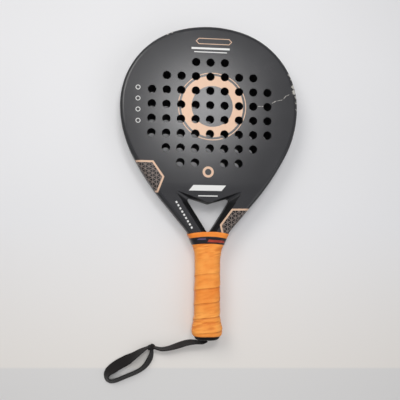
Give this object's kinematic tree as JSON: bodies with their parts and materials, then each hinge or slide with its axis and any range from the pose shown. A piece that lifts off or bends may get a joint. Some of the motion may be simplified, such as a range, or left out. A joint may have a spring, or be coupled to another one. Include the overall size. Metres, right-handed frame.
{
  "type": "padel racket",
  "caption": "Perforated teardrop padel racket with a hollow carbon frame, foam core, open throat, wound orange grip and a wrist strap looped from the butt",
  "frame": {"origin": "middle of the racket's outline without its wrist strap, on the back face that it lies on", "axes": "+X across the head, +Y from the butt to the head tip, +Z out of the front face, up as it lies"},
  "size_m": [0.2748, 0.5183, 0.038],
  "materials": {
    "frame": "satin lacquer on moulded carbon laminate",
    "face": "satin charcoal lacquer with copper and white print",
    "foam": "closed-cell EVA foam",
    "cap": "moulded black",
    "steel": "drawn bar",
    "webbing": "woven black webbing",
    "base_grip": "cushioned polyurethane",
    "overgrip": "worn orange polyurethane overgrip",
    "tape": "glossy black finishing tape"
  },
  "bodies": {
    "root": {"frame_tube": "frame", "bridge_tube": "frame", "foam_core": "foam", "front_face": "face", "back_face": "face", "handle_foam": "foam", "butt_cap": "cap", "strap_bar": "steel", "strap_anchor": "webbing", "base_grip": "base_grip", "overgrip": "overgrip", "finishing_tape": "tape", "strap_lead": "webbing", "strap_knot": "webbing", "strap_loop": "webbing"}
  },
  "joints": []
}
